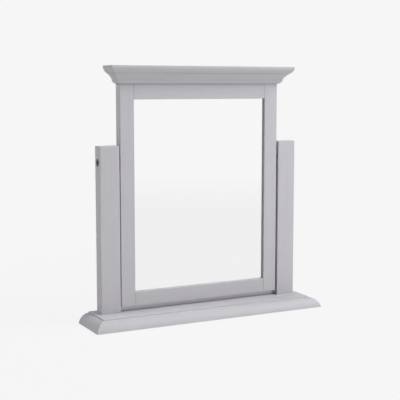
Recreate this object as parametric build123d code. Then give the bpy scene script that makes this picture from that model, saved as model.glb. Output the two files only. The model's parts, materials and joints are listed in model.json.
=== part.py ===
from build123d import *
import os

# Swing mirror for a dressing table. A moulded base carries two posts, and a framed mirror with a
# cornice tilts between them on two pivot bolts. Millimetres, X to the right, Y to the back, Z up,
# and the origin on the table under the middle of the base.

# Mirror frame
opening_width = 326.0
opening_height = 419.2
stile_width = 33.0
bottom_rail_height = 31.8
top_rail_reveal = 34.0
arris_radius = 0.9

# Glass, its rebate and the back of the frame
front_lip = 6.0
glass_thickness = 4.0
glass_rebate = 7.0
glass_edge_clearance = 1.5
setting_block_length = 30.0
setting_block_place_share = 0.25
strip_thickness = 6.0
strip_clearance = 0.2
panel_thickness = 6.0
panel_rebate = 16.0
panel_clearance = 0.4

# Cornice, from the cap down
cap_thickness = 5.0
cap_arris = 0.6
ovolo_run = 7.3
ovolo_drop = 10.6
ovolo_bow_share = 0.075
quirk_run = 1.4
quirk_drop = 0.8
cove_run = 11.0
cove_drop = 12.8
cove_bow_share = 0.07
fillet_height = 2.6
fillet_step = 0.6
bead_run = 4.8
bead_drop = 6.2
bead_bow_share = 0.05
soffit_ledge = 3.7

# Base
base_round_run = 22.0
base_round_rise = 21.4
base_round_bow_share = 0.163
base_quirk_height = 2.6
base_quirk_shelf = 1.0
base_end_margin = 35.9
base_depth = 112.0
base_arris = 1.2
pad_radius = 11.0
pad_thickness = 1.5
pad_inset = 26.0
pad_back_inset = 14.0

# Posts
post_width = 45.0
post_depth = 27.5
post_back_margin = 18.0
post_above_pivot = 35.0
post_arris = 1.2
swing_gap = 3.1
base_gap = 10.5

# Pivots
pivot_rise = 317.7
bolt_radius = 3.0
bolt_head_radius = 8.5
bolt_head_thickness = 3.0
bolt_head_rounding = 1.0
bolt_head_sink = 0.6
insert_floor = 1.0
socket_radius = 2.9
socket_depth = 1.8
bush_wall = 2.0
disc_spring_radius = 7.5
disc_spring_thickness = 0.8
disc_spring_cone = 0.5
spacer_radius = 10.0
insert_wall = 2.0
insert_flange_radius = 6.8
insert_flange_thickness = 1.2

# Dowels, screws and pins
post_dowel_radius = 5.0
post_dowel_in_base = 15.0
post_dowel_in_post = 25.0
post_dowel_place_share = 0.3
post_screw_radius = 2.5
post_screw_head_radius = 5.0
post_screw_length = 56.0
post_screw_recess = 6.0
frame_dowel_radius = 4.0
frame_dowel_reach = 20.0
frame_dowel_depth_share = 0.6
frame_dowel_bottom_shares = (0.28, 0.76)
frame_dowel_top_shares = (0.25, 0.65)
cornice_screw_radius = 2.0
cornice_screw_head_radius = 4.0
cornice_screw_bite = 13.0
cornice_screw_place_shares = (-0.41, -0.14, 0.14, 0.41)
return_pin_radius = 0.8
return_pin_bite = 16.0
return_pin_place_shares = (0.27, 0.73)
cap_pin_radius = 0.8
cap_pin_bite = 18.0
cap_pin_sink = 1.0
cap_pin_place_shares = (-0.46, -0.28, 0.0, 0.28, 0.46)
panel_screw_radius = 1.6
panel_screw_head_radius = 3.2
panel_screw_bite = 8.0
panel_screw_side_shares = (0.08, 0.5, 0.92)
panel_screw_end_shares = (-0.2, 0.2)
screw_slot_width_share = 0.22
screw_slot_reach_share = 0.62
screw_slot_depth_share = 0.55

# Clearances and the overrun of cuts
seat_clearance = 0.05
running_clearance = 0.05
head_clearance = 0.4
end_clearance = 0.5
overrun = 2.0

# Heights
base_height = base_round_rise + base_quirk_height
base_bottom = pad_thickness
base_top = base_bottom + base_height
frame_bottom = base_top + base_gap
opening_bottom = frame_bottom + bottom_rail_height
opening_top = opening_bottom + opening_height
soffit_height = opening_top + top_rail_reveal
cornice_drop = ovolo_drop + quirk_drop + cove_drop + fillet_height + bead_drop
cap_bottom = soffit_height + cornice_drop
cap_top = cap_bottom + cap_thickness
pivot_height = frame_bottom + pivot_rise
post_top = pivot_height + post_above_pivot

# Places across and in depth
frame_half = opening_width / 2 + stile_width
post_inner = frame_half + swing_gap
post_outer = post_inner + post_width
post_middle = (post_inner + post_outer) / 2
base_half = post_outer + base_end_margin
base_front = -base_depth / 2
base_back = base_depth / 2
pivot_depth = base_back - post_back_margin - post_depth / 2
frame_thickness = front_lip + glass_thickness + strip_thickness + panel_thickness
frame_front = pivot_depth - frame_thickness / 2
frame_back = pivot_depth + frame_thickness / 2
glass_front = frame_front + front_lip
glass_back = glass_front + glass_thickness
panel_front = glass_back + strip_thickness
cornice_overhang = ovolo_run + quirk_run + cove_run + fillet_step + bead_run + soffit_ledge
cornice_half = frame_half + cornice_overhang
cornice_front_face = frame_front - cornice_overhang
moulding_line = cap_bottom - ovolo_drop

# Places on the pivot line, on the right
head_outside = post_outer - bolt_head_sink
head_inside = head_outside - bolt_head_thickness
head_seat = head_inside - disc_spring_thickness - disc_spring_cone - running_clearance
insert_end = opening_width / 2 + panel_rebate + insert_floor + end_clearance
thread_end = insert_end + end_clearance


def block(low, high):
    """Box between two opposite corners."""
    size = Vector(*high) - Vector(*low)
    middle = (Vector(*high) + Vector(*low)) / 2
    return Pos(*middle) * Box(*size)


def rod(start, end, radius):
    """Round rod between two points."""
    path = Vector(*end) - Vector(*start)
    return extrude(Plane(start, z_dir=path) * Circle(radius), path.length)


def on_pivot(start, end, radius):
    """Round rod on the pivot line between two places across the mirror."""
    return rod((start, pivot_depth, pivot_height), (end, pivot_depth, pivot_height), radius)


def pivot_sleeve(start, end, outer_radius, inner_radius):
    """Ring or sleeve on the pivot line."""
    bore = on_pivot(start - overrun, end + overrun, inner_radius)
    return on_pivot(start, end, outer_radius) - bore


def left_of(right_piece):
    """Mirror image, on the left, of a piece made for the right."""
    return mirror(right_piece, about=Plane.YZ)


def screw_blank(head, direction, head_radius, radius, length, clearance=0):
    """Countersunk screw without its slots, or, with a clearance, the hole that it goes into."""
    taper = head_radius - radius
    outline = Polyline(
        (0, 0),
        (head_radius + clearance, 0),
        (radius + clearance, taper),
        (radius + clearance, length - radius),
        (0, length + clearance),
        close=True,
    )
    turned = revolve(make_face(Plane.XZ * outline), Axis.Z)
    return Plane(head, z_dir=direction) * turned


def screw(head, direction, head_radius, radius, length):
    """Countersunk screw with a cross slot in its head."""
    slot_half = head_radius * screw_slot_width_share / 2
    slot_reach = head_radius * screw_slot_reach_share
    slot_depth = (head_radius - radius) * screw_slot_depth_share
    slot = block((-slot_reach, -slot_half, -overrun), (slot_reach, slot_half, slot_depth))
    cross = slot + Rot(0, 0, 90) * slot
    return screw_blank(head, direction, head_radius, radius, length) - Plane(head, z_dir=direction) * cross


def group(pieces):
    """Separate solids that share one node."""
    return Compound(children=[piece.solid() for piece in pieces])


def bowed_line(start, end, bow_share):
    """Arc from start to end, bowed to the left of its way, or to the right with a negative share."""
    chord = (Vector(*end) - Vector(*start)).length
    return SagittaArc(start, end, chord * bow_share)


def moulding_outline():
    """Cornice section: X out from the frame, Y up from the soffit."""
    bead_end = soffit_ledge + bead_run
    fillet_end = bead_end + fillet_step
    cove_end = fillet_end + cove_run
    ovolo_start = cove_end + quirk_run
    fillet_bottom = bead_drop
    cove_bottom = fillet_bottom + fillet_height
    cove_top = cove_bottom + cove_drop
    ovolo_bottom = cove_top + quirk_drop
    bead = bowed_line((soffit_ledge, 0), (bead_end, fillet_bottom), -bead_bow_share)
    fillet_lines = Polyline(
        (bead_end, fillet_bottom), (fillet_end, fillet_bottom), (fillet_end, cove_bottom)
    )
    cove = bowed_line((fillet_end, cove_bottom), (cove_end, cove_top), cove_bow_share)
    quirk = Polyline((cove_end, cove_top), (cove_end, ovolo_bottom), (ovolo_start, ovolo_bottom))
    ovolo = bowed_line((ovolo_start, ovolo_bottom), (cornice_overhang, cornice_drop), -ovolo_bow_share)
    back = Polyline((cornice_overhang, cornice_drop), (0, cornice_drop), (0, 0), (soffit_ledge, 0))
    return make_face([bead, fillet_lines, cove, quirk, ovolo, back])


def mitre_prism(corners):
    """Upright prism over a plan outline, taller than the cornice."""
    plan = make_face(Polyline(*corners, close=True))
    return Pos(0, 0, soffit_height - overrun) * extrude(plan, cornice_drop + overrun * 2)


def make_base():
    """Base board: rounded edge and step along the front and both ends, flat back."""
    step = base_round_run + base_quirk_shelf

    def edge_outline(half):
        rise = base_round_rise
        round_edge = bowed_line((half, 0), (half - base_round_run, rise), -base_round_bow_share)
        top = Polyline(
            (half - base_round_run, rise),
            (half - step, rise),
            (half - step, base_height),
            (0, base_height),
            (0, 0),
            (half, 0),
        )
        return make_face([round_edge, top])

    front_plane = Plane((0, base_back, base_bottom), x_dir=(0, -1, 0), z_dir=(-1, 0, 0))
    along = extrude(front_plane * edge_outline(base_depth), base_half, both=True)
    end_plane = Plane((0, base_back, base_bottom), x_dir=(1, 0, 0), z_dir=(0, -1, 0))
    right_end = extrude(end_plane * edge_outline(base_half), base_depth)
    board = along & (right_end + left_of(right_end))
    board = fillet(board.faces().sort_by(Axis.Z)[-1].edges(), base_arris)
    for side in (-1, 1):
        middle = side * post_middle
        for place in post_dowel_places(side):
            board -= rod(
                (place, pivot_depth, base_top - post_dowel_in_base - end_clearance),
                (place, pivot_depth, base_top + overrun),
                post_dowel_radius + seat_clearance,
            )
        board -= post_screw_hole(side)
        board -= rod(
            (middle, pivot_depth, base_bottom - overrun),
            (middle, pivot_depth, base_bottom + post_screw_recess),
            post_screw_head_radius + head_clearance,
        )
    return board


def post_dowel_places(side):
    """Places across of the two dowels in one post."""
    spread = post_width * post_dowel_place_share
    return (side * post_middle - spread, side * post_middle + spread)


def post_screw_head(side):
    """Point at the middle of the head of the screw under one post."""
    return (side * post_middle, pivot_depth, base_bottom + post_screw_recess)


def post_screw_hole(side):
    """Hole for the screw under one post, through the base and into the post."""
    head = post_screw_head(side)
    return screw_blank(
        head, (0, 0, 1), post_screw_head_radius, post_screw_radius, post_screw_length, seat_clearance
    )


def make_post():
    """Right post, with its pivot hole, the sunk seat for the bolt head and the holes in its foot."""
    post = block(
        (post_inner, pivot_depth - post_depth / 2, base_top),
        (post_outer, pivot_depth + post_depth / 2, post_top),
    )
    foot_edges = post.faces().sort_by(Axis.Z)[0].edges()
    post = fillet(post.edges() - foot_edges, post_arris)
    post -= on_pivot(post_inner - overrun, post_outer + overrun, bolt_radius + bush_wall + seat_clearance)
    post -= on_pivot(head_seat, post_outer + overrun, bolt_head_radius + head_clearance)
    for place in post_dowel_places(1):
        post -= rod(
            (place, pivot_depth, base_top - overrun),
            (place, pivot_depth, base_top + post_dowel_in_post + end_clearance),
            post_dowel_radius + seat_clearance,
        )
    return post - post_screw_hole(1)


def make_post_dowels():
    """Two dowels in the foot of each post."""
    return [
        rod(
            (place, pivot_depth, base_top - post_dowel_in_base),
            (place, pivot_depth, base_top + post_dowel_in_post),
            post_dowel_radius,
        )
        for side in (-1, 1)
        for place in post_dowel_places(side)
    ]


def make_post_screws():
    """One screw up through the base into each post."""
    return [
        screw(post_screw_head(side), (0, 0, 1), post_screw_head_radius, post_screw_radius, post_screw_length)
        for side in (-1, 1)
    ]


def make_pads():
    """Felt pads near the corners of the base."""
    return [
        rod((x_place, y_place, 0), (x_place, y_place, pad_thickness), pad_radius)
        for x_place in (-base_half + pad_inset, base_half - pad_inset)
        for y_place in (base_front + pad_inset, base_back - pad_back_inset)
    ]


def make_bolt():
    """Right pivot bolt: round sunk head with a hex socket, and a shank that ends in the insert nut."""
    head = on_pivot(head_inside, head_outside, bolt_head_radius)
    head = fillet(head.edges().sort_by(Axis.X)[-1], bolt_head_rounding)
    socket_plane = Plane((head_outside - socket_depth, pivot_depth, pivot_height), z_dir=(1, 0, 0))
    socket = extrude(socket_plane * RegularPolygon(socket_radius, 6), socket_depth + overrun)
    return head + on_pivot(thread_end, head_inside, bolt_radius) - socket


def make_disc_spring():
    """Right disc spring: a shallow cone ring between the bolt head and the floor of its seat."""
    inner = bolt_radius + head_clearance
    outline = Polyline(
        (inner, disc_spring_cone),
        (inner, disc_spring_cone + disc_spring_thickness),
        (disc_spring_radius, disc_spring_thickness),
        (disc_spring_radius, 0),
        close=True,
    )
    turned = revolve(make_face(Plane.XZ * outline), Axis.Z)
    return Plane((head_seat, pivot_depth, pivot_height), z_dir=(1, 0, 0)) * turned


def make_bush():
    """Right bush, through the post from the seat of the bolt head to the inner face."""
    return pivot_sleeve(post_inner, head_seat, bolt_radius + bush_wall, bolt_radius + running_clearance)


def make_spacer():
    """Right spacer washer, in the slit between the post and the frame."""
    return pivot_sleeve(
        frame_half + running_clearance, post_inner, spacer_radius, bolt_radius + head_clearance
    )


def make_insert():
    """Right insert nut, pressed into the stile with its flange flush."""
    outer = bolt_radius + insert_wall
    nut = on_pivot(insert_end, frame_half, outer)
    nut += on_pivot(frame_half - insert_flange_thickness, frame_half, insert_flange_radius)
    return nut - on_pivot(insert_end - overrun, frame_half + overrun, bolt_radius + seat_clearance)


def rebate_pocket():
    """Stepped rebate behind the opening, for the glass and the back panel."""
    half = opening_width / 2
    glass_room = block(
        (-half - glass_rebate, glass_front, opening_bottom - glass_rebate),
        (half + glass_rebate, frame_back + overrun, opening_top + glass_rebate),
    )
    panel_room = block(
        (-half - panel_rebate, panel_front, opening_bottom - panel_rebate),
        (half + panel_rebate, frame_back + overrun, opening_top + panel_rebate),
    )
    return glass_room + panel_room


def frame_dowel_heights():
    """Heights of the frame dowels: a pair in the bottom rail and a pair in the top rail."""
    bottom_wood = bottom_rail_height - glass_rebate
    top_start = opening_top + glass_rebate
    top_wood = moulding_line - top_start
    bottom_pair = [frame_bottom + bottom_wood * share for share in frame_dowel_bottom_shares]
    top_pair = [top_start + top_wood * share for share in frame_dowel_top_shares]
    return bottom_pair + top_pair


def frame_dowel_set(radius, reach):
    """The frame dowels, or, with more radius and reach, their holes."""
    depth = frame_front + (panel_front - frame_front) * frame_dowel_depth_share
    return [
        rod(
            (side * opening_width / 2 - reach, depth, height),
            (side * opening_width / 2 + reach, depth, height),
            radius,
        )
        for side in (-1, 1)
        for height in frame_dowel_heights()
    ]


def frame_dowel_holes():
    """Holes for the frame dowels."""
    return frame_dowel_set(frame_dowel_radius + seat_clearance, frame_dowel_reach + end_clearance)


def panel_screw_heads():
    """Points at the heads of the back panel's screws, midway along the step that they hold in."""
    line = (glass_rebate + panel_rebate) / 2
    side_place = opening_width / 2 + line
    sides = [
        (side * side_place, frame_back, opening_bottom + opening_height * share)
        for side in (-1, 1)
        for share in panel_screw_side_shares
    ]
    ends = [
        (opening_width * share, frame_back, height)
        for share in panel_screw_end_shares
        for height in (opening_bottom - line, opening_top + line)
    ]
    return sides + ends


def panel_screw_holes():
    """Holes for the back panel's screws, through the panel and into the frame."""
    length = panel_thickness + panel_screw_bite
    return [
        screw_blank(head, (0, -1, 0), panel_screw_head_radius, panel_screw_radius, length, seat_clearance)
        for head in panel_screw_heads()
    ]


def make_panel_screws():
    """Screws that hold the back panel."""
    length = panel_thickness + panel_screw_bite
    return [
        screw(head, (0, -1, 0), panel_screw_head_radius, panel_screw_radius, length)
        for head in panel_screw_heads()
    ]


def cornice_screw_heads():
    """Points at the heads of the screws through the top rail."""
    return [(opening_width * share, frame_back, moulding_line) for share in cornice_screw_place_shares]


def cornice_screw_holes():
    """Holes for the screws through the top rail into the front moulding."""
    length = frame_thickness + cornice_screw_bite
    return [
        screw_blank(head, (0, -1, 0), cornice_screw_head_radius, cornice_screw_radius, length, seat_clearance)
        for head in cornice_screw_heads()
    ]


def make_cornice_screws():
    """Screws through the top rail into the front moulding."""
    length = frame_thickness + cornice_screw_bite
    return [
        screw(head, (0, -1, 0), cornice_screw_head_radius, cornice_screw_radius, length)
        for head in cornice_screw_heads()
    ]


def return_pin_set(side, radius, clearance):
    """Pins from one cornice return into its stile, sunk under filler at the outer end."""
    inner = side * (frame_half - return_pin_bite - clearance)
    outer = side * (frame_half + cove_run)
    depths = [frame_front + frame_thickness * share for share in return_pin_place_shares]
    return [rod((inner, depth, moulding_line), (outer, depth, moulding_line), radius) for depth in depths]


def cap_pin_set(radius, clearance):
    """Pins from the cap down into the top rail, sunk under filler at the top."""
    return [
        rod(
            (opening_width * share, pivot_depth, cap_bottom - cap_pin_bite - clearance),
            (opening_width * share, pivot_depth, cap_top - cap_pin_sink),
            radius,
        )
        for share in cap_pin_place_shares
    ]


def make_stile():
    """Right stile: full height of the frame, eased along its long edges, with the rebate and its holes."""
    stile = block((opening_width / 2, frame_front, frame_bottom), (frame_half, frame_back, cap_bottom))
    stile = fillet(stile.edges().filter_by(Axis.Z), arris_radius)
    stile -= rebate_pocket()
    insert_hole = bolt_radius + insert_wall + seat_clearance
    stile -= on_pivot(insert_end - end_clearance, frame_half + overrun, insert_hole)
    flange_floor = frame_half - insert_flange_thickness - seat_clearance
    stile -= on_pivot(flange_floor, frame_half + overrun, insert_flange_radius + seat_clearance)
    holes = frame_dowel_holes() + panel_screw_holes()
    holes += return_pin_set(1, return_pin_radius + seat_clearance, end_clearance)
    return stile - holes


def make_rail(bottom, top):
    """Rail between the stiles, softened at its ends and along its edges below the cornice."""
    rail = block((-opening_width / 2, frame_front, bottom), (opening_width / 2, frame_back, top))
    end_edges = rail.edges().filter_by(Axis.Z).group_by(Axis.Y)[0]
    long_edges = rail.edges().filter_by(Axis.X).filter_by_position(Axis.Z, bottom, soffit_height)
    rail = fillet(end_edges + long_edges, arris_radius)
    return rail - rebate_pocket() - frame_dowel_holes() - panel_screw_holes()


def make_top_rail():
    """Top rail, which runs up behind the cornice to the cap."""
    rail = make_rail(opening_top, cap_bottom)
    return rail - cornice_screw_holes() - cap_pin_set(cap_pin_radius + seat_clearance, end_clearance)


def make_glass():
    """Mirror glass, on its setting blocks."""
    half = opening_width / 2 + glass_rebate - glass_edge_clearance
    return block(
        (-half, glass_front, opening_bottom - glass_rebate + glass_edge_clearance),
        (half, glass_back, opening_top + glass_rebate - glass_edge_clearance),
    )


def make_setting_blocks():
    """Two blocks under the lower edge of the glass."""
    bottom = opening_bottom - glass_rebate
    spread = opening_width * setting_block_place_share
    half = setting_block_length / 2
    return [
        block(
            (place - half, glass_front + strip_clearance, bottom),
            (place + half, glass_back - strip_clearance, bottom + glass_edge_clearance),
        )
        for place in (-spread, spread)
    ]


def make_glazing_strips():
    """Strips behind the edges of the glass: full height at the sides, between them at top and bottom."""
    half = opening_width / 2
    low = opening_bottom - glass_rebate + strip_clearance
    high = opening_top + glass_rebate - strip_clearance
    right = block((half, glass_back, low), (half + glass_rebate - strip_clearance, panel_front, high))
    reach = half - strip_clearance
    bottom = block((-reach, glass_back, low), (reach, panel_front, opening_bottom))
    top = block((-reach, glass_back, opening_top), (reach, panel_front, high))
    return {
        "glazing_strip_left": left_of(right),
        "glazing_strip_right": right,
        "glazing_strip_bottom": bottom,
        "glazing_strip_top": top,
    }


def make_back_panel():
    """Back panel, flush with the back of the frame."""
    reach = panel_rebate - panel_clearance
    half = opening_width / 2 + reach
    panel = block((-half, panel_front, opening_bottom - reach), (half, frame_back, opening_top + reach))
    return panel - panel_screw_holes()


def make_cornice_front():
    """Front length of the cornice moulding, mitred at both ends."""
    plane = Plane((0, frame_front, soffit_height), x_dir=(0, -1, 0), z_dir=(-1, 0, 0))
    length = extrude(plane * moulding_outline(), cornice_half + overrun, both=True)
    far = cornice_overhang + overrun
    corners = (
        (-frame_half, frame_front),
        (-frame_half - far, frame_front - far),
        (frame_half + far, frame_front - far),
        (frame_half, frame_front),
    )
    return (length & mitre_prism(corners)) - cornice_screw_holes()


def make_cornice_return():
    """Right return of the cornice moulding, mitred at the front and square at the back."""
    plane = Plane((frame_half, frame_back, soffit_height), x_dir=(1, 0, 0), z_dir=(0, -1, 0))
    length = extrude(plane * moulding_outline(), frame_thickness + cornice_overhang + overrun)
    far = cornice_overhang + overrun
    corners = (
        (frame_half, frame_front),
        (frame_half + far, frame_front - far),
        (frame_half + far, frame_back + overrun),
        (frame_half, frame_back + overrun),
    )
    return (length & mitre_prism(corners)) - return_pin_set(1, return_pin_radius + seat_clearance, 0)


def make_cap():
    """Flat board over the frame and the mouldings, whose edge is the lip of the cornice."""
    cap = block((-cornice_half, cornice_front_face, cap_bottom), (cornice_half, frame_back, cap_top))
    cap = fillet(cap.faces().sort_by(Axis.Z)[-1].edges(), cap_arris)
    return cap - cap_pin_set(cap_pin_radius + seat_clearance, 0)


right_pieces = {
    "post": make_post(),
    "pivot_bolt": make_bolt(),
    "disc_spring": make_disc_spring(),
    "pivot_bush": make_bush(),
    "spacer_washer": make_spacer(),
    "insert_nut": make_insert(),
    "stile": make_stile(),
}
cornice_return = make_cornice_return()

nodes = {
    "base_board": make_base(),
    "felt_pads": group(make_pads()),
    "post_dowels": group(make_post_dowels()),
    "post_screws": group(make_post_screws()),
    "top_rail": make_top_rail(),
    "bottom_rail": make_rail(frame_bottom, opening_bottom),
    "frame_dowels": group(frame_dowel_set(frame_dowel_radius, frame_dowel_reach)),
    "mirror_glass": make_glass(),
    "setting_blocks": group(make_setting_blocks()),
    "back_panel": make_back_panel(),
    "back_panel_screws": group(make_panel_screws()),
    "cornice_front": make_cornice_front(),
    "cornice_right_return": cornice_return,
    "cornice_left_return": left_of(cornice_return),
    "cornice_cap": make_cap(),
    "cornice_screws": group(make_cornice_screws()),
    "return_pins": group([pin for side in (-1, 1) for pin in return_pin_set(side, return_pin_radius, 0)]),
    "cap_pins": group(cap_pin_set(cap_pin_radius, 0)),
}
nodes.update(make_glazing_strips())
for name, piece in right_pieces.items():
    nodes["right_" + name] = piece
    nodes["left_" + name] = left_of(piece)

os.makedirs("parts", exist_ok=True)
for name, piece in nodes.items():
    export_step(piece, "parts/" + name + ".step")
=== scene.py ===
"""Looks of a painted swing mirror for a dressing table, laid out as an add-on.

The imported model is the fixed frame. Its parts keep their shapes and places, and this file gives each of
them its finish, makes the felt pads under the base, and sets up the stage, the lights and the camera.
"""

import json
import math

import bmesh
import bpy
from bpy.props import FloatProperty, FloatVectorProperty, PointerProperty
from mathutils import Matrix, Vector


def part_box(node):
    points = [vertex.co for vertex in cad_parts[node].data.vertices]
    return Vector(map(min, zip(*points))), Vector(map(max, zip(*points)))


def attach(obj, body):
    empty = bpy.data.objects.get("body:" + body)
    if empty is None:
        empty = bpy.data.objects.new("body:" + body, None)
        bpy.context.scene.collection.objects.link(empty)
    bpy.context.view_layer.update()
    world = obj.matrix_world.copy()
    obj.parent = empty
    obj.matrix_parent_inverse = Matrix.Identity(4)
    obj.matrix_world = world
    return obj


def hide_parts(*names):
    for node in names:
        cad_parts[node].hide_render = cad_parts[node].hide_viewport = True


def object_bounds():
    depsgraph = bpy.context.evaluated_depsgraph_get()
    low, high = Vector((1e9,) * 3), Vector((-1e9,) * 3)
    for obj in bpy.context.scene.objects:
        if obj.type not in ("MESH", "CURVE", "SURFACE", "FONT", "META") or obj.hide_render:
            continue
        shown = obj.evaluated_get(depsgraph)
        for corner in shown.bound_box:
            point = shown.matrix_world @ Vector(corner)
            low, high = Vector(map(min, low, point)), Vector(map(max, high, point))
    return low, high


bl_info = {
    "name": "Swing Mirror",
    "version": (1, 0, 0),
    "blender": (4, 5, 0),
    "location": "View3D > Sidebar > Swing Mirror",
    "description": "Finishes the parts of a painted swing mirror and sets up a plain studio stage",
    "category": "Object",
}

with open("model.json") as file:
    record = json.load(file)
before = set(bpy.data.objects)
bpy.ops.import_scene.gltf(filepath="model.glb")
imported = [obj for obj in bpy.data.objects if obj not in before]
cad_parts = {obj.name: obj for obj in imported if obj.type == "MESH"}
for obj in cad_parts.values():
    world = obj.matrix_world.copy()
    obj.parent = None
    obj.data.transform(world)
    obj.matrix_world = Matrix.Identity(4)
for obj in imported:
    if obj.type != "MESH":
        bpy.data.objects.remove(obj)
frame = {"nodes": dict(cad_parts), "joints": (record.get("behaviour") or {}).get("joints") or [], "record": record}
CAD_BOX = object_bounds()

X_AXIS, Y_AXIS, Z_AXIS = range(3)
WHITE = (1.0, 1.0, 1.0)
EDGE_SAMPLES = 6
# Samples of the ambient-occlusion mask that paints shade into corners
PAINTED_SHADE_SAMPLES = 8
SLOT_COLOURS = {row["slot"]: tuple(row["base_color"]) for row in frame["record"]["materials"]}
PIVOT = Vector(frame["joints"][0]["pos_m"])
MIDDLE = (CAD_BOX[0] + CAD_BOX[1]) / 2

# Painted boards, each with the axis that its grain follows
STAND_BOARDS = {"base_board": X_AXIS, "left_post": Z_AXIS, "right_post": Z_AXIS}
FRAME_BOARDS = {"left_stile": Z_AXIS, "right_stile": Z_AXIS, "top_rail": X_AXIS, "bottom_rail": X_AXIS}
CORNICE_BOARDS = {
    "cornice_front": X_AXIS,
    "cornice_cap": X_AXIS,
    "cornice_left_return": Y_AXIS,
    "cornice_right_return": Y_AXIS,
}
BARE_BOARDS = {
    "post_dowels": Z_AXIS,
    "frame_dowels": X_AXIS,
    "glazing_strip_left": Z_AXIS,
    "glazing_strip_right": Z_AXIS,
    "glazing_strip_top": X_AXIS,
    "glazing_strip_bottom": X_AXIS,
}
BOLTS = ("left_pivot_bolt", "right_pivot_bolt")
STEEL_FIXINGS = (
    "left_disc_spring",
    "right_disc_spring",
    "post_screws",
    "back_panel_screws",
    "cornice_screws",
    "return_pins",
    "cap_pins",
)
INSERT_NUTS = ("left_insert_nut", "right_insert_nut")
NYLON_RINGS = ("left_pivot_bush", "right_pivot_bush", "left_spacer_washer", "right_spacer_washer")


def colour_setting(name, description, default):
    """A colour that the user can change."""
    return FloatVectorProperty(
        name=name, description=description, subtype="COLOR", size=3, min=0.0, max=1.0, default=default
    )


def length_setting(name, description, default):
    """A length in metres that the user can change."""
    return FloatProperty(
        name=name,
        description=description,
        subtype="DISTANCE",
        unit="LENGTH",
        min=0.0,
        precision=5,
        default=default,
    )


def share_setting(name, description, default):
    """A share from 0 to 1 that the user can change."""
    return FloatProperty(
        name=name, description=description, subtype="FACTOR", min=0.0, max=1.0, default=default
    )


def power_setting(name, description, default):
    """A lamp's power in watts that the user can change."""
    return FloatProperty(name=name, description=description, unit="POWER", min=0.0, default=default)


def place_setting(name, description, default):
    """A place in metres that the user can change."""
    return FloatVectorProperty(
        name=name, description=description, subtype="XYZ", unit="LENGTH", default=default
    )


class PaintSettings(bpy.types.PropertyGroup):
    """Satin paint over close-grained wood."""

    colour: colour_setting("Paint", "Colour of the paint", SLOT_COLOURS["grey_paint"])
    worn_colour: colour_setting("Worn edge", "Colour where the paint is rubbed thin", (0.66, 0.65, 0.67))
    roughness: share_setting("Roughness", "Roughness of the satin surface", 0.62)
    roughness_spread: share_setting("Roughness spread", "How far the roughness wanders either way", 0.07)
    stroke_width: length_setting("Stroke width", "Width of the brush strokes", 0.0045)
    stroke_height: length_setting("Stroke height", "Height of the brush strokes", 0.00003)
    stroke_share: share_setting("Stroke tone", "How far the strokes change the tone", 0.022)
    grain_width: length_setting("Grain width", "Width of the wood grain that shows through", 0.0012)
    grain_height: length_setting("Grain height", "Height of the wood grain that shows through", 0.00002)
    grain_share: share_setting("Grain tone", "How far the grain changes the tone", 0.018)
    cloud_size: length_setting("Cloud size", "Size of the soft patches in the paint", 0.11)
    cloud_share: share_setting("Cloud tone", "How far the patches change the tone", 0.014)
    peel_size: length_setting("Peel size", "Size of the fine ripple in the film", 0.0009)
    peel_height: length_setting("Peel height", "Height of the fine ripple in the film", 0.000006)
    edge_softness: length_setting("Edge softness", "Radius of the sanded and painted edges", 0.0015)
    wear_reach: length_setting("Wear reach", "How far from an edge the wear shows", 0.0011)
    wear_share: share_setting("Wear", "How strongly the worn colour shows at edges", 0.35)
    # The next three settings set painted shade: the paint is darkened near corners, joints and recesses where
    # shade falls
    crevice_reach: length_setting("Crevice reach", "How far from a corner its shade reaches", 0.002)
    joint_share: share_setting("Joint shade", "Loss of tone in the joints of the frame and cornice", 0.45)
    foot_share: share_setting("Foot shade", "Loss of tone in the corners of the stand", 0.03)


class GlassSettings(bpy.types.PropertyGroup):
    """Silvered glass."""

    colour: colour_setting("Silver", "Colour of the silvering seen through the glass", (0.92, 0.925, 0.922))
    smear_size: length_setting("Smear size", "Size of the wiped smears", 0.09)
    smear_roughness: share_setting("Smear roughness", "Roughness in the strongest smear", 0.012)


class BackSettings(bpy.types.PropertyGroup):
    """Fibreboard back and the bare wood behind the glass."""

    board_colour: colour_setting("Fibreboard", "Colour of the back panel", SLOT_COLOURS["back_board"])
    fleck_colour: colour_setting("Fibre", "Colour of the pale fibres in the panel", (0.47, 0.34, 0.21))
    fibre_length: length_setting("Fibre length", "Length of the fibres in the panel", 0.006)
    fibre_width: length_setting("Fibre width", "Width of the fibres in the panel", 0.0007)
    wood_colour: colour_setting("Bare wood", "Colour of the dowels and strips", SLOT_COLOURS["bare_wood"])
    wood_dark_colour: colour_setting("Late wood", "Colour of the darker growth rings", (0.47, 0.31, 0.17))
    ring_width: length_setting("Ring width", "Width of the growth rings in the bare wood", 0.004)


class HardwareSettings(bpy.types.PropertyGroup):
    """Bolts, screws, insert nuts and bearing rings."""

    bolt_colour: colour_setting("Black oxide", "Colour of the pivot bolts", SLOT_COLOURS["dark_bolt"])
    bolt_bare_colour: colour_setting("Rubbed bolt", "Colour where a bolt is rubbed", (0.16, 0.155, 0.15))
    turning_pitch: length_setting("Turning pitch", "Spacing of the turning marks on the bolt heads", 0.0005)
    turning_height: length_setting("Turning height", "Height of the turning marks", 0.000012)
    steel_colour: colour_setting("Zinc", "Colour of the plated fixings", SLOT_COLOURS["steel_screw"])
    steel_tint: colour_setting("Zinc tint", "Colour of the warmer patches in the plating", (0.64, 0.6, 0.5))
    brass_colour: colour_setting("Brass", "Colour of the insert nuts", SLOT_COLOURS["brass_insert"])
    brass_dull_colour: colour_setting("Dull brass", "Colour of tarnish on the nuts", (0.45, 0.31, 0.13))
    nylon_colour: colour_setting("Nylon", "Colour of the bushes and spacer washers", SLOT_COLOURS["nylon"])
    rubber_colour: colour_setting("Rubber", "Colour of the setting blocks", SLOT_COLOURS["block_rubber"])
    plating_size: length_setting("Plating patch", "Size of the patches in the plating", 0.0025)
    skin_grain: length_setting("Skin grain", "Size of the pits in the nylon and rubber", 0.0004)


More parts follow.
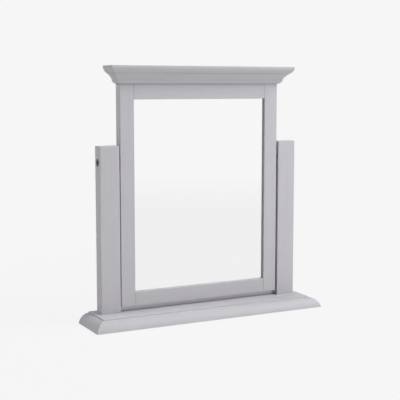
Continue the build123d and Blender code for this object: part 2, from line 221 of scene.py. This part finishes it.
class PadSettings(bpy.types.PropertyGroup):
    """Felt pads under the base."""

    colour: colour_setting("Felt", "Colour of the felt", SLOT_COLOURS["felt"])
    fibre_colour: colour_setting("Felt fibre", "Colour of the paler fibres", (0.34, 0.325, 0.31))
    fibre_size: length_setting("Fibre size", "Size of the tangled fibres", 0.0006)
    nap_height: length_setting("Nap height", "Height of the fibres on the surface", 0.00025)
    rim_roundness: length_setting("Rim roundness", "Radius of the pressed rim of a pad", 0.0005)
    rim_wander: length_setting("Rim wander", "How far the cut rim strays from a true circle", 0.00018)


class StageSettings(bpy.types.PropertyGroup):
    """Floor, background, lights and camera."""

    background_level: share_setting("Background", "Level of the background that shows", 0.9216)
    floor_colour: colour_setting("Floor", "Colour of the floor below the object", (0.9, 0.9, 0.9))
    floor_half: length_setting("Floor reach", "Half of the side of the square floor", 200.0)
    shadow_share: share_setting("Shadow", "Share of the floor near the object that takes its shadow", 0.04)
    shadow_reach: length_setting("Shadow reach", "How far from the object the floor takes a shadow", 1.1)
    floor_light: share_setting("Floor light", "Light on the floor outside the shadow", 1.0)
    # Painted shade: in reflections the floor near the object is darker, standing in for the shade it takes from
    # the object
    near_floor_level: share_setting("Near floor", "Level of the near floor in reflections", 0.937)
    near_floor_reach: length_setting("Near floor reach", "Where the near floor ends in reflections", 1.7)
    far_floor_reach: length_setting("Far floor reach", "Where the far floor begins in reflections", 3.4)
    key_power: power_setting("Key", "Power of the key light, high on the right", 102.0)
    key_place: place_setting("Key place", "Place of the key light", (1.994, -1.295, 2.421))
    front_power: power_setting("Front", "Power of the low front light", 16.5)
    front_place: place_setting("Front place", "Place of the front light", (0.0, -3.13, 0.945))
    left_power: power_setting("Left", "Power of the light on the left", 36.0)
    left_place: place_setting("Left place", "Place of the left light", (-2.463, 0.8965, 2.115))
    back_power: power_setting("Back", "Power of the high light behind the object", 15.0)
    back_place: place_setting("Back place", "Place of the back light", (0.414, 1.5455, 3.051))
    lamp_size: length_setting("Lamp size", "Side of each square light", 1.6)
    camera_place: place_setting("Camera place", "Place of the camera", (-0.9831, -1.8819, 0.5172))
    camera_heading: FloatProperty(
        name="Camera heading",
        description="Turn of the camera to the right of straight back",
        unit="ROTATION",
        default=math.radians(27.32),
    )
    camera_tilt: FloatProperty(
        name="Camera tilt",
        description="Turn of the camera below level",
        unit="ROTATION",
        default=math.radians(6.83),
    )
    camera_lens: FloatProperty(
        name="Camera lens",
        description="Focal length of the camera",
        unit="CAMERA",
        default=86.2,
    )


class SwingMirrorSettings(bpy.types.PropertyGroup):
    """All settings of the swing mirror."""

    paint: PointerProperty(type=PaintSettings)
    glass: PointerProperty(type=GlassSettings)
    back: PointerProperty(type=BackSettings)
    hardware: PointerProperty(type=HardwareSettings)
    pads: PointerProperty(type=PadSettings)
    stage: PointerProperty(type=StageSettings)


def add_node(tree, kind, inputs=None, **settings):
    """Adds a node. An input is a value for its socket, or the socket that feeds it."""
    made = tree.nodes.new("ShaderNode" + kind)
    for name, value in settings.items():
        setattr(made, name, value)
    for name, value in (inputs or {}).items():
        if isinstance(value, bpy.types.NodeSocket):
            tree.links.new(value, made.inputs[name])
        else:
            made.inputs[name].default_value = value
    return made


def opaque(colour):
    """A setting's colour as a socket takes it."""
    return (*colour, 1.0)


def new_finish(name):
    """A new material, its node tree and its shader."""
    material = bpy.data.materials.new(name)
    material.use_nodes = True
    return material, material.node_tree, material.node_tree.nodes["Principled BSDF"]


def own_place(tree, stretch_axis=None, stretch=1.0):
    """Coordinates that ride with a part, shifted for each part, and drawn out along one axis."""
    place = add_node(tree, "TexCoord").outputs["Object"]
    shift = add_node(tree, "ObjectInfo").outputs["Random"]
    shifted = add_node(tree, "VectorMath", {0: place, 1: shift}, operation="ADD").outputs["Vector"]
    scale = [1.0, 1.0, 1.0]
    if stretch_axis is not None:
        scale[stretch_axis] = 1.0 / stretch
    return add_node(tree, "Mapping", {"Vector": shifted, "Scale": scale}).outputs["Vector"]


def noise(tree, place, size, detail=2.0, distortion=0.0):
    """Noise whose patches are about as wide as size, in metres."""
    inputs = {"Vector": place, "Scale": 1.0 / size, "Detail": detail, "Distortion": distortion}
    return add_node(tree, "TexNoise", inputs).outputs[0]


def between(tree, value, low, high, start=0.3, end=0.7):
    """Value from start to end becomes low to high. Noise mostly lies from 0.3 to 0.7."""
    inputs = {"Value": value, "From Min": start, "From Max": end, "To Min": low, "To Max": high}
    return add_node(tree, "MapRange", inputs).outputs["Result"]


def wander(tree, value, share):
    """Level that strays from 1 by a share either way."""
    return between(tree, value, 1.0 - share, 1.0 + share)


def product(tree, first, second):
    """Product of two values."""
    return add_node(tree, "Math", {0: first, 1: second}, operation="MULTIPLY").outputs[0]


def largest(tree, values):
    """Largest of several values."""
    result = values[0]
    for value in values[1:]:
        result = add_node(tree, "Math", {0: result, 1: value}, operation="MAXIMUM").outputs[0]
    return result


def mix_colours(tree, share, first, second):
    """First colour, with a share of the second."""
    made = add_node(tree, "Mix", {"Factor": share}, data_type="RGBA")
    for socket, colour in ((made.inputs[6], first), (made.inputs[7], second)):
        if isinstance(colour, bpy.types.NodeSocket):
            tree.links.new(colour, socket)
        else:
            socket.default_value = opaque(colour)
    return made.outputs[2]


def tone(tree, colour, level):
    """Colour made lighter or darker by a level round 1."""
    made = add_node(tree, "HueSaturation", {"Value": level})
    if isinstance(colour, bpy.types.NodeSocket):
        tree.links.new(colour, made.inputs["Color"])
    else:
        made.inputs["Color"].default_value = opaque(colour)
    return made.outputs["Color"]


def relief(tree, height_value, height, under=None):
    """Bump of a real height, over another normal if one is given."""
    inputs = {"Height": height_value, "Distance": height}
    if under is not None:
        inputs["Normal"] = under
    return add_node(tree, "Bump", inputs).outputs["Normal"]


def rounded_normal(tree, radius):
    """Normal of a surface whose edges are rounded to a radius."""
    return add_node(tree, "Bevel", {"Radius": radius}, samples=EDGE_SAMPLES).outputs["Normal"]


def edge_mask(tree, reach):
    """Value that rises from 0 on flat faces to 1 on the edges."""
    rounded = rounded_normal(tree, reach)
    flat = add_node(tree, "NewGeometry").outputs["Normal"]
    same = add_node(tree, "VectorMath", {0: rounded, 1: flat}, operation="DOT_PRODUCT").outputs["Value"]
    on_face, on_edge = 0.995, 0.86
    return between(tree, same, 0.0, 1.0, start=on_face, end=on_edge)


def feed(tree, shader, **sources):
    """Links sources to the shader's sockets."""
    for name, source in sources.items():
        tree.links.new(source, shader.inputs[name.replace("_", " ").title()])


def dress(nodes, material):
    """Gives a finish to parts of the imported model."""
    for node in nodes:
        slots = frame["nodes"][node].data.materials
        slots.clear()
        slots.append(material)


def paint_finish(name, grain_axis, paint, painted_shade_share):
    """Satin paint on a board, with strokes, grain, worn edges and painted shade darkening its crevices."""
    name = "%s_along_%s" % (name, "xyz"[grain_axis])
    if name in bpy.data.materials:
        return bpy.data.materials[name]
    material, tree, shader = new_finish(name)
    stroke_stretch, grain_stretch = 34.0, 46.0
    deep, open_air = 0.45, 0.98
    strokes = noise(tree, own_place(tree, grain_axis, stroke_stretch), paint.stroke_width, detail=3.0)
    grain = noise(tree, own_place(tree, grain_axis, grain_stretch), paint.grain_width)
    clouds = noise(tree, own_place(tree), paint.cloud_size)
    peel = noise(tree, own_place(tree), paint.peel_size, detail=1.0)
    # Painted shade: an ambient-occlusion mask darkens the paint colour in corners, joints and recesses where shade
    # falls
    painted_crevice_shade = add_node(
        tree, "AmbientOcclusion", {"Distance": paint.crevice_reach}, samples=PAINTED_SHADE_SAMPLES
    ).outputs["AO"]

    level = wander(tree, strokes, paint.stroke_share)
    level = product(tree, level, wander(tree, grain, paint.grain_share))
    level = product(tree, level, wander(tree, clouds, paint.cloud_share))
    level = product(tree, level, between(tree, painted_crevice_shade, 1.0 - painted_shade_share, 1.0, start=deep, end=open_air))
    rubbed = product(tree, edge_mask(tree, paint.wear_reach), between(tree, clouds, 0.0, paint.wear_share))
    colour = tone(tree, mix_colours(tree, rubbed, paint.colour, paint.worn_colour), level)

    smooth = paint.roughness - paint.roughness_spread
    rough = paint.roughness + paint.roughness_spread
    normal = rounded_normal(tree, paint.edge_softness)
    normal = relief(tree, grain, paint.grain_height, normal)
    normal = relief(tree, strokes, paint.stroke_height, normal)
    normal = relief(tree, peel, paint.peel_height, normal)
    feed(tree, shader, base_color=colour, roughness=between(tree, strokes, smooth, rough), normal=normal)
    return material


def silver_finish(glass):
    """Silvered glass with faint wiped smears."""
    material, tree, shader = new_finish("mirror_silver")
    shader.inputs["Metallic"].default_value = 1.0
    smear_stretch, dust_size, dusty = 3.0, 0.02 * glass.smear_size, 0.988
    wiped = own_place(tree, X_AXIS, smear_stretch)
    smears = noise(tree, wiped, glass.smear_size, detail=4.0, distortion=0.6)
    dust = noise(tree, own_place(tree), dust_size, detail=1.0)
    feed(
        tree,
        shader,
        base_color=tone(tree, glass.colour, between(tree, dust, 1.0, dusty, start=0.66, end=0.8)),
        roughness=between(tree, smears, 0.0, glass.smear_roughness, start=0.5, end=0.75),
    )
    return material


def fibreboard_finish(back):
    """Sealed fibreboard with pale fibres lying both ways."""
    material, tree, shader = new_finish("back_fibreboard")
    stretch = back.fibre_length / back.fibre_width
    patch_size, fibre_height = 12.0 * back.fibre_length, 0.04 * back.fibre_width
    matt, sealed = 0.78, 0.6
    lying = noise(tree, own_place(tree, X_AXIS, stretch), back.fibre_width, detail=3.0, distortion=0.8)
    standing = noise(tree, own_place(tree, Z_AXIS, stretch), back.fibre_width, detail=3.0, distortion=0.8)
    patches = noise(tree, own_place(tree), patch_size)
    fibres = largest(tree, (lying, standing))
    pale_share = between(tree, fibres, 0.0, 0.75, start=0.5, end=0.72)
    colour = mix_colours(tree, pale_share, back.board_colour, back.fleck_colour)
    feed(
        tree,
        shader,
        base_color=tone(tree, colour, between(tree, patches, 0.9, 1.08)),
        roughness=between(tree, fibres, matt, sealed),
        normal=relief(tree, fibres, fibre_height),
    )
    return material


def bare_wood_finish(grain_axis, back):
    """Planed wood with growth rings and short dark flecks."""
    name = "bare_wood_along_" + "xyz"[grain_axis]
    if name in bpy.data.materials:
        return bpy.data.materials[name]
    material, tree, shader = new_finish(name)
    ring_stretch, fleck_stretch = 30.0, 6.0
    fleck_size, fleck_height, fleck_level = 0.12 * back.ring_width, 0.006 * back.ring_width, 0.72
    smooth, rough = 0.55, 0.7
    rings = noise(tree, own_place(tree, grain_axis, ring_stretch), back.ring_width, detail=3.0)
    flecks = noise(tree, own_place(tree, grain_axis, fleck_stretch), fleck_size, detail=1.0)
    colour = mix_colours(tree, between(tree, rings, 0.0, 0.8), back.wood_colour, back.wood_dark_colour)
    feed(
        tree,
        shader,
        base_color=tone(tree, colour, between(tree, flecks, 1.0, fleck_level, start=0.62, end=0.72)),
        roughness=between(tree, rings, smooth, rough),
        normal=relief(tree, flecks, fleck_height),
    )
    return material


def bolt_finish(hardware):
    """Black oxide with turning marks round the pivot and rubbed edges."""
    material, tree, shader = new_finish("bolt_black_oxide")
    shader.inputs["Metallic"].default_value = 0.85
    smooth, rough = 0.34, 0.48
    place = add_node(tree, "TexCoord").outputs["Object"]
    centred = add_node(tree, "VectorMath", {0: place, 1: PIVOT}, operation="SUBTRACT").outputs["Vector"]
    # At a scale of 1 the rings of a wave texture lie tau / 20 apart
    ring_scale = math.tau / 20.0 / hardware.turning_pitch
    rings = add_node(
        tree,
        "TexWave",
        {"Vector": centred, "Scale": ring_scale, "Distortion": 0.6, "Detail": 1.0},
        wave_type="RINGS",
        rings_direction="X",
    ).outputs["Fac"]
    patches = noise(tree, own_place(tree), hardware.plating_size)
    rubbed = product(tree, edge_mask(tree, hardware.turning_pitch), between(tree, patches, 0.2, 0.8))
    colour = mix_colours(tree, rubbed, hardware.bolt_colour, hardware.bolt_bare_colour)
    feed(
        tree,
        shader,
        base_color=tone(tree, colour, wander(tree, patches, 0.15)),
        roughness=between(tree, patches, smooth, rough),
        normal=relief(tree, rings, hardware.turning_height),
    )
    return material


def plated_finish(name, colour, tint, patch_size):
    """Metal with patches of a second tint and a fine grain."""
    material, tree, shader = new_finish(name)
    shader.inputs["Metallic"].default_value = 1.0
    fine_size, fine_height = 0.12 * patch_size, 0.003 * patch_size
    smooth, rough = 0.28, 0.45
    patches = noise(tree, own_place(tree), patch_size, detail=3.0)
    fine = noise(tree, own_place(tree), fine_size)
    feed(
        tree,
        shader,
        base_color=mix_colours(tree, between(tree, patches, 0.0, 0.8), colour, tint),
        roughness=between(tree, patches, smooth, rough),
        normal=relief(tree, fine, fine_height),
    )
    return material


def moulded_finish(name, colour, grain_size, smooth, rough):
    """Moulded plastic or rubber with a fine pitted skin."""
    material, tree, shader = new_finish(name)
    bloom_size, pit_depth = 14.0 * grain_size, 0.05 * grain_size
    pits = noise(tree, own_place(tree), grain_size)
    bloom = noise(tree, own_place(tree), bloom_size)
    feed(
        tree,
        shader,
        base_color=tone(tree, colour, between(tree, bloom, 0.85, 1.25)),
        roughness=between(tree, bloom, smooth, rough),
        normal=relief(tree, pits, pit_depth),
    )
    return material


def felt_finish(pads):
    """Pressed felt: tangled fibres of two tones and a soft sheen."""
    material, tree, shader = new_finish("pressed_felt")
    shader.inputs["Sheen Weight"].default_value = 0.35
    shader.inputs["Sheen Roughness"].default_value = 0.6
    clump_size = 8.0 * pads.fibre_size
    pressed, loose = 0.85, 0.98
    tangle = noise(tree, own_place(tree), pads.fibre_size, detail=4.0, distortion=2.5)
    clumps = noise(tree, own_place(tree), clump_size)
    colour = mix_colours(tree, between(tree, tangle, 0.0, 0.9), pads.colour, pads.fibre_colour)
    feed(
        tree,
        shader,
        base_color=tone(tree, colour, between(tree, clumps, 0.85, 1.12)),
        roughness=between(tree, tangle, pressed, loose),
        normal=relief(tree, tangle, pads.nap_height),
    )
    return material


def pad_ring(angle_count, centre, radius, height, stray):
    """Points of one level ring of a felt pad, straying a little from a circle."""
    slow_waves, fast_waves = 5, 11
    slow_share, fast_share = 0.6, 0.4
    slow_start, fast_start = 90 * centre.x, 70 * centre.y
    ring = []
    for step in range(angle_count):
        angle = math.tau * step / angle_count
        slow = slow_share * math.sin(slow_waves * angle + slow_start)
        fast = fast_share * math.sin(fast_waves * angle + fast_start)
        reach = radius - stray + stray * (slow + fast)
        ring.append((centre.x + reach * math.cos(angle), centre.y + reach * math.sin(angle), height))
    return ring


def add_pad(mesh, centre, radius, bottom, top, pads):
    """Adds one felt disc to a mesh: flat faces and a rim that is rounded over by pressing."""
    angle_count, rim_steps = 72, 5
    rim = min(pads.rim_roundness, (top - bottom) / 2)
    rings = []
    for step in range(rim_steps + 1):
        turn = math.pi / 2 * step / rim_steps
        inset, lift = rim * (1 - math.sin(turn)), rim * (1 - math.cos(turn))
        rings.append((radius - inset, bottom + lift))
    rings += [(reach, bottom + top - height) for reach, height in reversed(rings)]
    loops = [
        [mesh.verts.new(point) for point in pad_ring(angle_count, centre, reach, height, pads.rim_wander)]
        for reach, height in rings
    ]
    for lower, upper in zip(loops, loops[1:]):
        for step in range(angle_count):
            after = (step + 1) % angle_count
            mesh.faces.new((lower[step], lower[after], upper[after], upper[step]))
    mesh.faces.new(list(reversed(loops[0])))
    mesh.faces.new(loops[-1])


def pad_places():
    """Middles of the felt pads, which are the part's mounts, and their radius, lowest and highest level."""
    low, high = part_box("felt_pads")
    mounts = [Vector(row["pos_m"]) for row in frame["record"]["mounts"]]
    radius = high.x - max(place.x for place in mounts)
    return mounts, radius, low.z, high.z


class SWINGMIRROR_OT_paint_stand(bpy.types.Operator):
    """Paint the base board and the two posts"""

    bl_idname = "swing_mirror.paint_stand"
    bl_label = "Paint Stand"

    def execute(self, context):
        paint = context.scene.swing_mirror.paint
        for board, grain_axis in STAND_BOARDS.items():
            dress([board], paint_finish("grey_paint_stand", grain_axis, paint, paint.foot_share))
        return {"FINISHED"}


class SWINGMIRROR_OT_paint_frame(bpy.types.Operator):
    """Paint the stiles and rails of the mirror frame"""

    bl_idname = "swing_mirror.paint_frame"
    bl_label = "Paint Frame"

    def execute(self, context):
        paint = context.scene.swing_mirror.paint
        for board, grain_axis in FRAME_BOARDS.items():
            dress([board], paint_finish("grey_paint", grain_axis, paint, paint.joint_share))
        return {"FINISHED"}


class SWINGMIRROR_OT_paint_cornice(bpy.types.Operator):
    """Paint the cornice mouldings and the cap over them"""

    bl_idname = "swing_mirror.paint_cornice"
    bl_label = "Paint Cornice"

    def execute(self, context):
        paint = context.scene.swing_mirror.paint
        for board, grain_axis in CORNICE_BOARDS.items():
            dress([board], paint_finish("grey_paint", grain_axis, paint, paint.joint_share))
        return {"FINISHED"}


class SWINGMIRROR_OT_silver_glass(bpy.types.Operator):
    """Silver the mirror glass"""

    bl_idname = "swing_mirror.silver_glass"
    bl_label = "Silver Glass"

    def execute(self, context):
        dress(["mirror_glass"], silver_finish(context.scene.swing_mirror.glass))
        return {"FINISHED"}


class SWINGMIRROR_OT_finish_back(bpy.types.Operator):
    """Finish the fibreboard back panel"""

    bl_idname = "swing_mirror.finish_back"
    bl_label = "Finish Back"

    def execute(self, context):
        dress(["back_panel"], fibreboard_finish(context.scene.swing_mirror.back))
        return {"FINISHED"}


class SWINGMIRROR_OT_finish_bare_wood(bpy.types.Operator):
    """Finish the dowels and the glazing strips"""

    bl_idname = "swing_mirror.finish_bare_wood"
    bl_label = "Finish Bare Wood"

    def execute(self, context):
        for piece, grain_axis in BARE_BOARDS.items():
            dress([piece], bare_wood_finish(grain_axis, context.scene.swing_mirror.back))
        return {"FINISHED"}


class SWINGMIRROR_OT_finish_bolts(bpy.types.Operator):
    """Finish the two pivot bolts"""

    bl_idname = "swing_mirror.finish_bolts"
    bl_label = "Finish Pivot Bolts"

    def execute(self, context):
        dress(BOLTS, bolt_finish(context.scene.swing_mirror.hardware))
        return {"FINISHED"}


class SWINGMIRROR_OT_finish_fixings(bpy.types.Operator):
    """Finish the screws, pins, disc springs and insert nuts"""

    bl_idname = "swing_mirror.finish_fixings"
    bl_label = "Finish Fixings"

    def execute(self, context):
        hardware = context.scene.swing_mirror.hardware
        patch = hardware.plating_size
        zinc = plated_finish("zinc_plate", hardware.steel_colour, hardware.steel_tint, patch)
        brass = plated_finish("turned_brass", hardware.brass_colour, hardware.brass_dull_colour, patch)
        dress(STEEL_FIXINGS, zinc)
        dress(INSERT_NUTS, brass)
        return {"FINISHED"}


class SWINGMIRROR_OT_finish_rings(bpy.types.Operator):
    """Finish the nylon bushes and washers and the rubber setting blocks"""

    bl_idname = "swing_mirror.finish_rings"
    bl_label = "Finish Bushes and Blocks"

    def execute(self, context):
        hardware = context.scene.swing_mirror.hardware
        grain = hardware.skin_grain
        nylon = moulded_finish("moulded_nylon", hardware.nylon_colour, grain, smooth=0.42, rough=0.55)
        rubber = moulded_finish("block_rubber", hardware.rubber_colour, grain, smooth=0.7, rough=0.88)
        dress(NYLON_RINGS, nylon)
        dress(["setting_blocks"], rubber)
        return {"FINISHED"}


class SWINGMIRROR_OT_make_pads(bpy.types.Operator):
    """Make the felt pads under the base"""

    bl_idname = "swing_mirror.make_pads"
    bl_label = "Make Felt Pads"

    def execute(self, context):
        pads = context.scene.swing_mirror.pads
        mounts, radius, bottom, top = pad_places()
        mesh = bmesh.new()
        for centre in mounts:
            add_pad(mesh, centre, radius, bottom, top, pads)
        data = bpy.data.meshes.new("felt_discs")
        mesh.to_mesh(data)
        mesh.free()
        data.materials.append(felt_finish(pads))
        discs = bpy.data.objects.new("felt_discs", data)
        context.scene.collection.objects.link(discs)
        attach(discs, "stand")
        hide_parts("felt_pads")
        return {"FINISHED"}


def seen_rays(tree):
    """Two values: 1 for rays that show the background, and 1 for rays of the camera."""
    path = add_node(tree, "LightPath").outputs
    seen = largest(tree, [path["Is Camera Ray"], path["Is Glossy Ray"], path["Is Transmission Ray"]])
    in_view = add_node(tree, "Math", {0: path["Diffuse Depth"], 1: 0.5}, operation="LESS_THAN").outputs[0]
    return product(tree, seen, in_view), path["Is Camera Ray"]


def floor_finish(stage):
    """Pale floor that lights the object from below, meets the background and keeps the object's shadow; in
    reflections it carries painted shade, darker near the object.
    """
    material, tree, shader = new_finish("pale_floor")
    tree.nodes.remove(shader)
    seen, by_camera = seen_rays(tree)
    place = add_node(tree, "TexCoord").outputs["Object"]
    reach = add_node(tree, "VectorMath", {0: place}, operation="LENGTH").outputs["Value"]
    share = between(
        tree, reach, stage.shadow_share, 0.0, start=stage.shadow_reach / 2, end=stage.shadow_reach
    )
    rest = add_node(tree, "Math", {0: 1.0, 1: share}, operation="SUBTRACT").outputs[0]
    # Painted shade: seen in reflections, the floor is darker near the object and ramps up to full level far away
    reflected_with_painted_shade = between(
        tree, reach, stage.near_floor_level, 1.0, start=stage.near_floor_reach, end=stage.far_floor_reach
    )
    level = add_node(
        tree, "Mix", {"Factor": by_camera, 2: reflected_with_painted_shade, 3: stage.background_level}, data_type="FLOAT"
    ).outputs[0]
    shadowed = product(tree, product(tree, level, share), 1.0 / stage.floor_light)
    lit = add_node(tree, "BsdfDiffuse", {"Color": opaque(stage.floor_colour)}).outputs[0]
    shadow_taker = add_node(tree, "BsdfDiffuse", {"Color": shadowed}).outputs[0]
    glow = add_node(tree, "Emission", {"Strength": product(tree, level, rest)}).outputs[0]
    shown = add_node(tree, "AddShader", {0: shadow_taker, 1: glow}).outputs[0]
    surface = add_node(tree, "MixShader", {0: seen, 1: lit, 2: shown}).outputs[0]
    tree.links.new(surface, tree.nodes["Material Output"].inputs["Surface"])
    return material


def make_floor(context, stage):
    """Level floor that runs out to the horizon."""
    half = stage.floor_half
    corners = ((-half, -half, 0.0), (half, -half, 0.0), (half, half, 0.0), (-half, half, 0.0))
    data = bpy.data.meshes.new("floor")
    data.from_pydata(corners, [], [tuple(range(len(corners)))])
    data.materials.append(floor_finish(stage))
    floor = bpy.data.objects.new("floor", data)
    context.scene.collection.objects.link(floor)


def make_background(context, stage):
    """World that shows the pale background and leaves the light to the lamps."""
    world = bpy.data.worlds.new("studio")
    world.use_nodes = True
    tree = world.node_tree
    seen, by_camera = seen_rays(tree)
    unlit = tree.nodes["Background"]
    unlit.inputs["Strength"].default_value = 0.0
    level = add_node(
        tree, "Mix", {"Factor": by_camera, 2: 1.0, 3: stage.background_level}, data_type="FLOAT"
    ).outputs[0]
    shown = add_node(tree, "Background", {"Color": opaque(WHITE), "Strength": level}).outputs[0]
    mixed = add_node(tree, "MixShader", {0: seen, 1: unlit.outputs[0], 2: shown}).outputs[0]
    tree.links.new(mixed, tree.nodes["World Output"].inputs["Surface"])
    context.scene.world = world


def make_light(context, name, power, place, size):
    """Square soft light that points at the middle of the object."""
    lamp = bpy.data.lights.new(name, "AREA")
    lamp.energy = power
    lamp.size = size
    light = bpy.data.objects.new(name, lamp)
    light.location = place
    light.rotation_euler = (MIDDLE - Vector(place)).to_track_quat("-Z", "Y").to_euler()
    context.scene.collection.objects.link(light)


def make_camera(context, stage):
    """Camera at the viewing angle of the photograph."""
    data = bpy.data.cameras.new("camera")
    data.lens = stage.camera_lens
    camera = bpy.data.objects.new("camera", data)
    camera.location = stage.camera_place
    camera.rotation_euler = (math.pi / 2 - stage.camera_tilt, 0.0, -stage.camera_heading)
    context.scene.collection.objects.link(camera)
    context.scene.camera = camera


class SWINGMIRROR_OT_set_stage(bpy.types.Operator):
    """Set up the floor, the background, the lights and the camera"""

    bl_idname = "swing_mirror.set_stage"
    bl_label = "Set Stage"

    def execute(self, context):
        stage = context.scene.swing_mirror.stage
        make_floor(context, stage)
        make_background(context, stage)
        make_light(context, "key_light", stage.key_power, stage.key_place, stage.lamp_size)
        make_light(context, "front_light", stage.front_power, stage.front_place, stage.lamp_size)
        make_light(context, "left_light", stage.left_power, stage.left_place, stage.lamp_size)
        make_light(context, "back_light", stage.back_power, stage.back_place, stage.lamp_size)
        make_camera(context, stage)
        context.scene.view_settings.view_transform = "Standard"
        return {"FINISHED"}


STEPS = (
    SWINGMIRROR_OT_paint_stand,
    SWINGMIRROR_OT_paint_frame,
    SWINGMIRROR_OT_paint_cornice,
    SWINGMIRROR_OT_silver_glass,
    SWINGMIRROR_OT_finish_back,
    SWINGMIRROR_OT_finish_bare_wood,
    SWINGMIRROR_OT_finish_bolts,
    SWINGMIRROR_OT_finish_fixings,
    SWINGMIRROR_OT_finish_rings,
    SWINGMIRROR_OT_make_pads,
    SWINGMIRROR_OT_set_stage,
)


class SWINGMIRROR_PT_parts(bpy.types.Panel):
    """Lists the steps that finish the swing mirror"""

    bl_idname = "SWINGMIRROR_PT_parts"
    bl_label = "Swing Mirror"
    bl_space_type = "VIEW_3D"
    bl_region_type = "UI"
    bl_category = "Swing Mirror"

    def draw(self, context):
        for step in STEPS:
            self.layout.operator(step.bl_idname)
        for group_name in SwingMirrorSettings.__annotations__:
            group = getattr(context.scene.swing_mirror, group_name)
            box = self.layout.box()
            box.label(text=group_name.title())
            for setting in group.__annotations__:
                box.prop(group, setting)


SETTING_GROUPS = (
    PaintSettings,
    GlassSettings,
    BackSettings,
    HardwareSettings,
    PadSettings,
    StageSettings,
    SwingMirrorSettings,
)


def register():
    for kind in (*SETTING_GROUPS, *STEPS, SWINGMIRROR_PT_parts):
        bpy.utils.register_class(kind)
    bpy.types.Scene.swing_mirror = PointerProperty(type=SwingMirrorSettings)


def unregister():
    del bpy.types.Scene.swing_mirror
    for kind in reversed((*SETTING_GROUPS, *STEPS, SWINGMIRROR_PT_parts)):
        bpy.utils.unregister_class(kind)


def main():
    """Registers the add-on and runs its steps in order."""
    register()
    bpy.ops.swing_mirror.paint_stand()
    bpy.ops.swing_mirror.paint_frame()
    bpy.ops.swing_mirror.paint_cornice()
    bpy.ops.swing_mirror.silver_glass()
    bpy.ops.swing_mirror.finish_back()
    bpy.ops.swing_mirror.finish_bare_wood()
    bpy.ops.swing_mirror.finish_bolts()
    bpy.ops.swing_mirror.finish_fixings()
    bpy.ops.swing_mirror.finish_rings()
    bpy.ops.swing_mirror.make_pads()
    bpy.ops.swing_mirror.set_stage()


if __name__ == "__main__":
    main()
